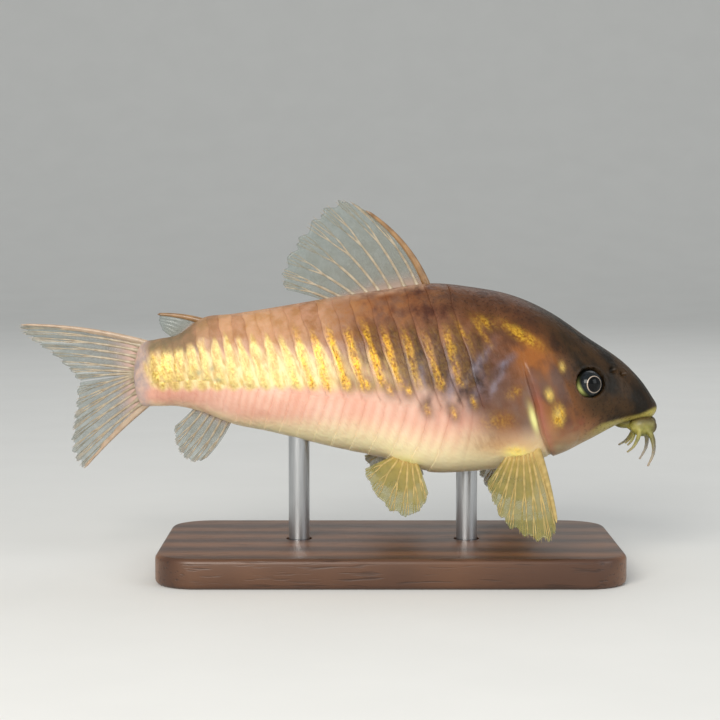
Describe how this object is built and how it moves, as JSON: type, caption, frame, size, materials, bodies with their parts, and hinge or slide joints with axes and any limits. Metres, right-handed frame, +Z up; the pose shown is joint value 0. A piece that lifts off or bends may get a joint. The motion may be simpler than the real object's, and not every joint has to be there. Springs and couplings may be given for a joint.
{
  "type": "corydoras catfish",
  "caption": "Small armoured catfish with plated flanks, mouth barbels and spread rayed fins, held still above a plain display stand.",
  "frame": {"origin": "middle of the stand's underside", "axes": "+X to the fish's snout, +Y to its left side, +Z up"},
  "size_m": [0.0762, 0.033, 0.044],
  "materials": {
    "head_skin": "moist dark olive-brown skin over bone",
    "flank_skin": "moist coppery skin over bony plates",
    "gill_cover": "moist brown skin with gold sheen",
    "lip_skin": "soft moist yellowish skin",
    "fin": "moist translucent membrane with bony rays",
    "eye": "glossy and wet",
    "stand_wood": "satin oiled walnut",
    "stand_steel": "brushed"
  },
  "bodies": {
    "root": {"head": "head_skin", "torso": "flank_skin", "tail_stem": "flank_skin", "lower_lip": "lip_skin", "eye_left": "eye", "eye_right": "eye", "gill_cover_left": "gill_cover", "gill_cover_right": "gill_cover", "stand_base": "stand_wood", "stand_rod_front": "stand_steel", "stand_rod_rear": "stand_steel", "dorsal_fin": "fin", "adipose_fin": "fin", "anal_fin": "fin", "tail_fin_upper": "fin", "tail_fin_lower": "fin", "pectoral_fin_left": "fin", "pectoral_fin_right": "fin", "pelvic_fin_left": "fin", "pelvic_fin_right": "fin", "barbel_outer_left": "lip_skin", "barbel_inner_left": "lip_skin", "barbel_chin_left": "lip_skin", "barbel_outer_right": "lip_skin", "barbel_inner_right": "lip_skin", "barbel_chin_right": "lip_skin"}
  },
  "joints": []
}
